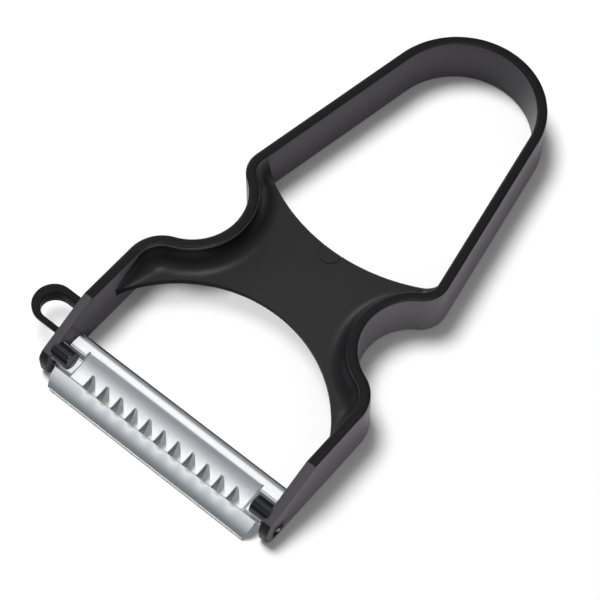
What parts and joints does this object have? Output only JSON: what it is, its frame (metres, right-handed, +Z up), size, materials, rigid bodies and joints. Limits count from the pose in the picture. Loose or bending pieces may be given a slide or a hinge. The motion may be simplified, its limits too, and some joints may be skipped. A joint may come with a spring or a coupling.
{
  "type": "julienne peeler",
  "caption": "Y-shaped julienne peeler: a dark moulded frame with an open handle and a pressed steel toothed blade that swivels between its arm tips.",
  "frame": {"origin": "under the middle of the whole object, on the face it lies on", "axes": "+Y from the blade to the crown of the handle, +Z up as it lies, -X towards the arm with the loop"},
  "size_m": [0.0698, 0.119, 0.012],
  "materials": {
    "frame_plastic": "satin charcoal",
    "blade_steel": "bright"
  },
  "bodies": {
    "frame": {"frame": "frame_plastic"},
    "blade": {"blade": "blade_steel"}
  },
  "joints": [
    {"name": "blade_swivel", "type": "hinge", "parent": "frame", "child": "blade", "pos_m": [0.00453, -0.054, 0.00185], "axis": [1, 0, 0], "range_deg": [-22, 15]}
  ]
}
